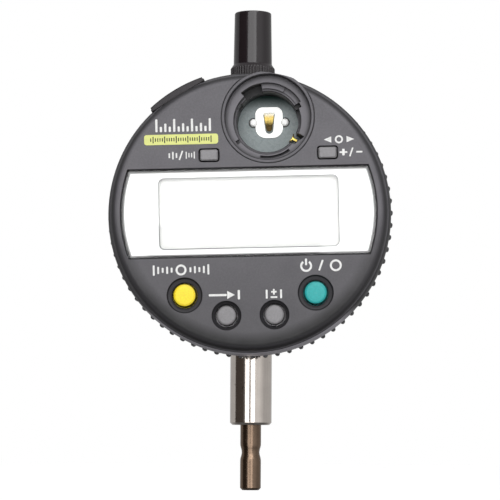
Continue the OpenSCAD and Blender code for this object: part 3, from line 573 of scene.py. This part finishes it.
def add_spring():
    """A coiled wire that stands for the CAD spring."""
    low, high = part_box("return_spring")
    coil_r = (high.x - low.x) / 2 - SPRING_WIRE_R
    rise = high.z - low.z - 2 * SPRING_WIRE_R
    work = bmesh.new()
    rows = []
    for i in range(SPRING_STEPS + 1):
        angle = 2 * math.pi * SPRING_TURNS * i / SPRING_STEPS
        middle_z = low.z + SPRING_WIRE_R + rise * i / SPRING_STEPS
        row = []
        for k in range(SPRING_SIDES):
            around = 2 * math.pi * k / SPRING_SIDES
            reach = coil_r + SPRING_WIRE_R * math.cos(around)
            z = middle_z + SPRING_WIRE_R * math.sin(around)
            row.append(work.verts.new((reach * math.cos(angle), reach * math.sin(angle), z)))
        rows.append(row)
    for here, there in zip(rows, rows[1:]):
        for k in range(SPRING_SIDES):
            m = (k + 1) % SPRING_SIDES
            work.faces.new((here[k], here[m], there[m], there[k])).smooth = True
    work.faces.new(rows[0][::-1])
    work.faces.new(rows[-1])
    bmesh.ops.recalc_face_normals(work, faces=work.faces)
    spring = add_mesh("return_spring_coil", work)
    spring.data.materials.append(MATERIALS["spring_steel"])
    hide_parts("return_spring")
    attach(spring, "case")
    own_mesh(spring)


# ---- Printing on the face, sizes and places in millimetres ----------------

INK_FRONT, INK_BACK = 0.03, -0.01
BADGE_FRONT, BADGE_BACK = 0.11, 0.06

# The window: its mask lies behind the face, and the lens has round ends
MASK_DEPTH = 1.43
MASK_FRONT, MASK_BACK = -MASK_DEPTH + 0.02, -MASK_DEPTH + 0.004
LENS_END_R = 28.45
LENS_HALF_H = 9.75
SHADOW_INSETS = (0.01, 0.26)
BORDER_INSETS = (0.27, 0.52)
# A grey line of painted shadow round the display's aperture.
APERTURE_SHADOW_OUTER = (40.4, 16.1, 1.3)
APERTURE_SHADOW_INNER = (40.05, 15.75, 1.15)

# Places of the signs, across and up from the face centre
ZERO_AT = (-15.3, -12.7)
POWER_AT = (12.6, -12.4)
PRESET_AT = (-7.2, -18.5)
TOLERANCE_AT = (5.3, -18.5)
UNIT_AT = (-17.5, 13.0)
SIGN_AT = (21.44, 12.9)
ARROWS_AT = (20.5, 15.8)
EMBLEM_AT = (-20.3, 18.35)
BADGE_AT = (-21.6, 16.6)

# Widths of their strokes, and the lean of a dividing stroke
RING = 0.46
RULE = 0.42
BOLD = 0.5
PLUS = 0.40
MINUS = 0.38
THIN = 0.34
FINE = 0.26
HAIR = 0.22
LEAN = math.radians(20)


class Print:
    """Flat closed shapes of ink on the face, gathered into one mesh."""

    def __init__(self, front, back):
        self.mesh = bmesh.new()
        self.front = front
        self.back = back

    def row(self, points, ahead):
        return [self.mesh.verts.new(on_face(x, z, ahead)) for x, z in points]

    def loop(self, points):
        """A filled outline, given anticlockwise."""
        top = self.row(points, self.front)
        base = self.row(points, self.back)
        self.mesh.faces.new(top)
        self.mesh.faces.new(base[::-1])
        count = len(points)
        for i in range(count):
            j = (i + 1) % count
            self.mesh.faces.new((top[j], top[i], base[i], base[j]))

    def bar(self, x, z, width, height, lean=0.0):
        """A bar with clipped corners, leaning to the right by an angle."""
        cut = min(width, height) * 0.22
        w, h = width / 2, height / 2
        spots = [(w, cut - h), (w, h - cut), (w - cut, h), (cut - w, h),
                 (-w, h - cut), (-w, cut - h), (cut - w, -h), (w - cut, -h)]
        c, s = math.cos(lean), math.sin(lean)
        self.loop([(x + u * c + v * s, z - u * s + v * c) for u, v in spots])

    def arc(self, x, z, radius, width, start=0.0, end=360.0, steps=40):
        """A curved stroke, closed when it goes all the way round."""
        whole = abs(end - start) >= 360.0
        inner, outer = radius - width / 2, radius + width / 2
        section = ((inner, self.front), (outer, self.front), (outer, self.back),
                   (inner, self.back))
        rows = []
        for i in range(steps if whole else steps + 1):
            angle = math.radians(start + (end - start) * i / steps)
            c, s = math.cos(angle), math.sin(angle)
            rows.append([self.mesh.verts.new(on_face(x + r * c, z + r * s, ahead))
                         for r, ahead in section])
        for i in range(steps):
            here, there = rows[i], rows[(i + 1) % len(rows)]
            for k in range(4):
                m = (k + 1) % 4
                self.mesh.faces.new((here[k], here[m], there[m], there[k]))
        if not whole:
            self.mesh.faces.new(rows[0][::-1])
            self.mesh.faces.new(rows[-1])

    def band(self, outer, inner):
        """The strip between two closed outlines with the same number of points."""
        rows = [self.row(inner, self.front), self.row(outer, self.front),
                self.row(outer, self.back), self.row(inner, self.back)]
        count = len(outer)
        for k in range(4):
            here, there = rows[k], rows[(k + 1) % 4]
            for i in range(count):
                j = (i + 1) % count
                self.mesh.faces.new((here[i], here[j], there[j], there[i]))

    def place(self, name, material, slot=None):
        """Makes the piece, printed on the display unit."""
        bmesh.ops.recalc_face_normals(self.mesh, faces=self.mesh.faces)
        piece = add_mesh(name, self.mesh)
        piece.data.materials.append(MATERIALS[material])
        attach(piece, "display_unit")


def lens_outline(inset, steps=14):
    """Outline of the lens with its round ends, moved inwards."""
    radius, height = LENS_END_R - inset, LENS_HALF_H - inset
    reach = math.asin(height / radius)
    angles = [reach * (2 * i / steps - 1) for i in range(steps + 1)]
    right = [(radius * math.cos(angle), radius * math.sin(angle)) for angle in angles]
    return right + [(-x, -z) for x, z in right]


def rounded_outline(width, height, radius, steps=6):
    """Outline of a rectangle with round corners."""
    points = []
    for quarter, (sx, sz) in enumerate(((1, 1), (-1, 1), (-1, -1), (1, -1))):
        for i in range(steps + 1):
            angle = math.radians(90 * quarter + 90 * i / steps)
            points.append((sx * (width / 2 - radius) + radius * math.cos(angle),
                           sz * (height / 2 - radius) + radius * math.sin(angle)))
    return points


def print_window():
    """Lines on the mask: a dark line of painted shadow and a grey border along the lens edge, and a grey line of
    painted shadow round the aperture.
    """
    shadow = Print(MASK_FRONT, MASK_BACK)
    shadow.band(*(lens_outline(inset) for inset in SHADOW_INSETS))
    shadow.place("window_shadow_line", "seal_rubber")
    ink = Print(MASK_FRONT, MASK_BACK)
    ink.band(*(lens_outline(inset) for inset in BORDER_INSETS))
    # Painted shadow round the display's aperture.
    ink.band(rounded_outline(*APERTURE_SHADOW_OUTER), rounded_outline(*APERTURE_SHADOW_INNER))
    ink.place("window_lines", "grey_button")


def zero_sign(ink):
    """A ring between two rows of ticks."""
    x, z = ZERO_AT
    ink.arc(x, z, 1.0, RING)
    for side in (-1, 1):
        for reach, tall in ((2.1, 1.1), (3.1, 1.6), (4.1, 1.1), (5.1, 1.6), (6.1, 2.3)):
            ink.bar(x + side * reach, z, RULE, tall)


def power_sign(ink):
    """An open ring with a bar, a stroke and a closed ring."""
    x, z = POWER_AT
    ink.arc(x, z, 1.1, RING, 125, 415)
    ink.bar(x, z + 0.9, RING, 1.5)
    ink.bar(x + 3.3, z + 0.1, RULE, 2.5, LEAN)
    ink.arc(x + 6.6, z, 1.1, RING)


def preset_sign(ink):
    """An arrow that meets a line."""
    x, z = PRESET_AT
    ink.bar(x, z, 4.0, BOLD)
    ink.loop([(x + 2.1, z - 0.9), (x + 3.8, z), (x + 2.1, z + 0.9)])
    ink.bar(x + 4.7, z, BOLD, 2.1)


def tolerance_sign(ink):
    """Plus over minus between two limits."""
    x, z = TOLERANCE_AT
    ink.bar(x, z + 0.5, PLUS, 1.3)
    for side in (-1, 1):
        ink.bar(x + side * 0.41, z + 0.5, PLUS, PLUS)
    ink.bar(x, z - 0.7, 1.5, PLUS)
    for side in (-1, 1):
        ink.bar(x + side * 1.6, z, RULE, 2.0)


def unit_sign(ink):
    """Coarse and fine scale lines either side of a stroke."""
    x, z = UNIT_AT
    for i in range(3):
        ink.bar(x + 0.8 * i, z, THIN, 1.7 if i == 1 else 1.1)
    ink.bar(x + 2.6, z, THIN, 2.2, LEAN)
    for i in range(4):
        ink.bar(x + 3.8 + 0.6 * i, z, FINE, 1.6 if i in (0, 3) else 1.0)


def counting_sign(ink):
    """Plus, stroke and minus, under arrows that point out of a ring."""
    x, z = SIGN_AT
    for side in (-1, 1):
        ink.bar(x + side * 0.59, z, 0.58, MINUS)
    ink.bar(x, z, 0.58, 1.5)
    ink.bar(x + 1.76, z, THIN, 2.1, LEAN)
    ink.bar(x + 3.56, z, 1.4, MINUS)
    x, z = ARROWS_AT
    ink.arc(x, z, 0.72, MINUS)
    for side in (-1, 1):
        ink.loop([(x + side * 1.7, z + side * 0.7), (x + side * 1.7, z - side * 0.7),
                  (x + side * 3.4, z)])


def emblem(ink):
    """The upright marks of a scale, in place of a name."""
    x, z = EMBLEM_AT
    for i in range(13):
        tall = 2.9 if i % 4 == 0 else 1.9 if i % 2 == 0 else 1.2
        ink.bar(x + i, z + tall / 2, BOLD, tall)


def print_symbols():
    """Plain signs beside the buttons, in place of words, and marks on the badge."""
    ink = Print(INK_FRONT, INK_BACK)
    for draw in (zero_sign, power_sign, preset_sign, tolerance_sign, unit_sign, counting_sign,
                 emblem):
        draw(ink)
    ink.place("face_symbols", "symbol_ink", "white_mask")
    marks = Print(BADGE_FRONT, BADGE_BACK)
    x, z = BADGE_AT
    for i in range(27):
        marks.bar(x + 0.52 * i, z, HAIR, 1.5 if i % 5 == 1 else 0.8)
    marks.place("badge_marks", "chip_plastic")


# ---- Studio, in metres ---------------------------------------------------

FLOOR_RADIUS = 6.0
FLOOR_DROP = 30.0 * MM
FLOOR_GLOW = 0.55
PANEL_BELOW, PANEL_ABOVE = 0.75, 0.55
WHITE = (1.0, 1.0, 1.0)

# Directions in which the world's brightness changes, and the brightness at their ends
FRONT_TO_SIDE = (-0.75, -0.1)
LEFT_TO_RIGHT = (0.0, 0.4)
DOWN_TO_LEVEL = (-0.8, -0.2)
FRONT_LEFT, FRONT_RIGHT = 0.25, 0.85
ELSEWHERE = 0.50
BELOW = 0.25


def add_floor():
    """A wide pale floor, well below the spindle, left out of the reflections."""
    work = bmesh.new()
    bmesh.ops.create_circle(work, cap_ends=True, radius=FLOOR_RADIUS, segments=96)
    floor = add_mesh("floor", work)
    floor.location.z = cad_low.z - FLOOR_DROP
    floor.visible_diffuse = False
    floor.visible_glossy = False
    s = Surface("floor_white", 0.9)
    base = s.mix(s.noise(400.0, 2.0), (0.90, 0.90, 0.90), (0.92, 0.92, 0.92))
    white = s.finish(base, Emission_Color=WHITE, Emission_Strength=FLOOR_GLOW)
    floor.data.materials.append(white)


def add_light(name, place, size, radiance, target):
    """A rectangular lamp of even brightness, seen in reflections but not by the camera."""
    data = bpy.data.lights.new(name, "AREA")
    data.shape = "RECTANGLE"
    data.size, data.size_y = size
    data.energy = math.pi * size[0] * size[1] * radiance
    lamp = add_object(name, data)
    lamp.location = Vector(place)
    lamp.rotation_euler = facing_euler(place, target, "-Z")
    lamp.visible_camera = False


def add_card(name, place, size, colour):
    """An upright card that darkens what the object mirrors, unseen by the camera."""
    work = bmesh.new()
    bmesh.ops.create_grid(work, x_segments=1, y_segments=1, size=0.5)
    card = add_mesh(name, work)
    card.location = Vector(place)
    card.scale = (size[0], size[1], 1.0)
    card.rotation_euler = facing_euler(place, (0.0, 0.0, place[2]), "Z")
    s = Surface(name, 0.9)
    base = s.mix(s.noise(50.0), shade(colour, 0.95), shade(colour, 1.05))
    card.data.materials.append(s.finish(base))
    card.visible_camera = False
    card.visible_shadow = False
    card.visible_diffuse = False


def add_world():
    """White to the camera. For light and reflections it is dim to the front left, bright to the
    front right, even elsewhere and darker below."""
    world = bpy.data.worlds.new("studio")
    bpy.context.scene.world = world
    world.use_nodes = True
    tree = world.node_tree

    def node(kind, **settings):
        made = tree.nodes.new(kind)
        for key, value in settings.items():
            setattr(made, key, value)
        return made

    def ramp(value, low, high, start, end):
        made = node("ShaderNodeMapRange", interpolation_type="SMOOTHSTEP")
        ends = {"From Min": low, "From Max": high, "To Min": start, "To Max": end}
        for key, number in ends.items():
            made.inputs[key].default_value = number
        tree.links.new(value, made.inputs["Value"])
        return made.outputs["Result"]

    split = node("ShaderNodeSeparateXYZ")
    tree.links.new(node("ShaderNodeTexCoord").outputs["Generated"], split.inputs[0])
    front = ramp(split.outputs["X"], *LEFT_TO_RIGHT, FRONT_LEFT, FRONT_RIGHT)
    sides = node("ShaderNodeMix")
    tree.links.new(ramp(split.outputs["Y"], *FRONT_TO_SIDE, 0.0, 1.0), sides.inputs["Factor"])
    tree.links.new(front, sides.inputs["A"])
    sides.inputs["B"].default_value = ELSEWHERE
    level = node("ShaderNodeMath", operation="MULTIPLY")
    tree.links.new(sides.outputs["Result"], level.inputs[0])
    tree.links.new(ramp(split.outputs["Z"], *DOWN_TO_LEVEL, BELOW, 1.0), level.inputs[1])
    seen = node("ShaderNodeMix")
    tree.links.new(node("ShaderNodeLightPath").outputs["Is Camera Ray"], seen.inputs["Factor"])
    tree.links.new(level.outputs[0], seen.inputs["A"])
    seen.inputs["B"].default_value = 1.0
    background = tree.nodes["Background"]
    background.inputs["Color"].default_value = (*WHITE, 1.0)
    tree.links.new(seen.outputs["Result"], background.inputs["Strength"])


def add_studio():
    """A panel behind the camera, a lamp above it, and two dark cards that metal mirrors."""
    add_world()
    add_floor()
    low, high = CENTRE_Z - PANEL_BELOW, CENTRE_Z + PANEL_ABOVE
    middle_z = (low + high) / 2
    add_light("front_panel", place=(-0.06, -1.0, middle_z), size=(0.98, high - low),
              radiance=2.2, target=(-0.06, 0.0, middle_z))
    add_light("top_panel", place=(0.12, -0.80, CENTRE_Z + 0.75), size=(1.0, 0.8),
              radiance=2.3, target=(0.0, 0.0, CENTRE_Z))
    add_card("left_card", place=(-0.42, -0.20, CENTRE_Z), size=(0.50, 0.9),
             colour=(0.105, 0.085, 0.072))
    add_card("camera_card", place=(-0.03, -0.60, CENTRE_Z - 0.04), size=(0.08, 0.18),
             colour=(0.02, 0.02, 0.02))
    bpy.context.scene.view_settings.view_transform = "Standard"


add_camera()
dress_nodes()
add_spring()
print_window()
print_symbols()
add_studio()
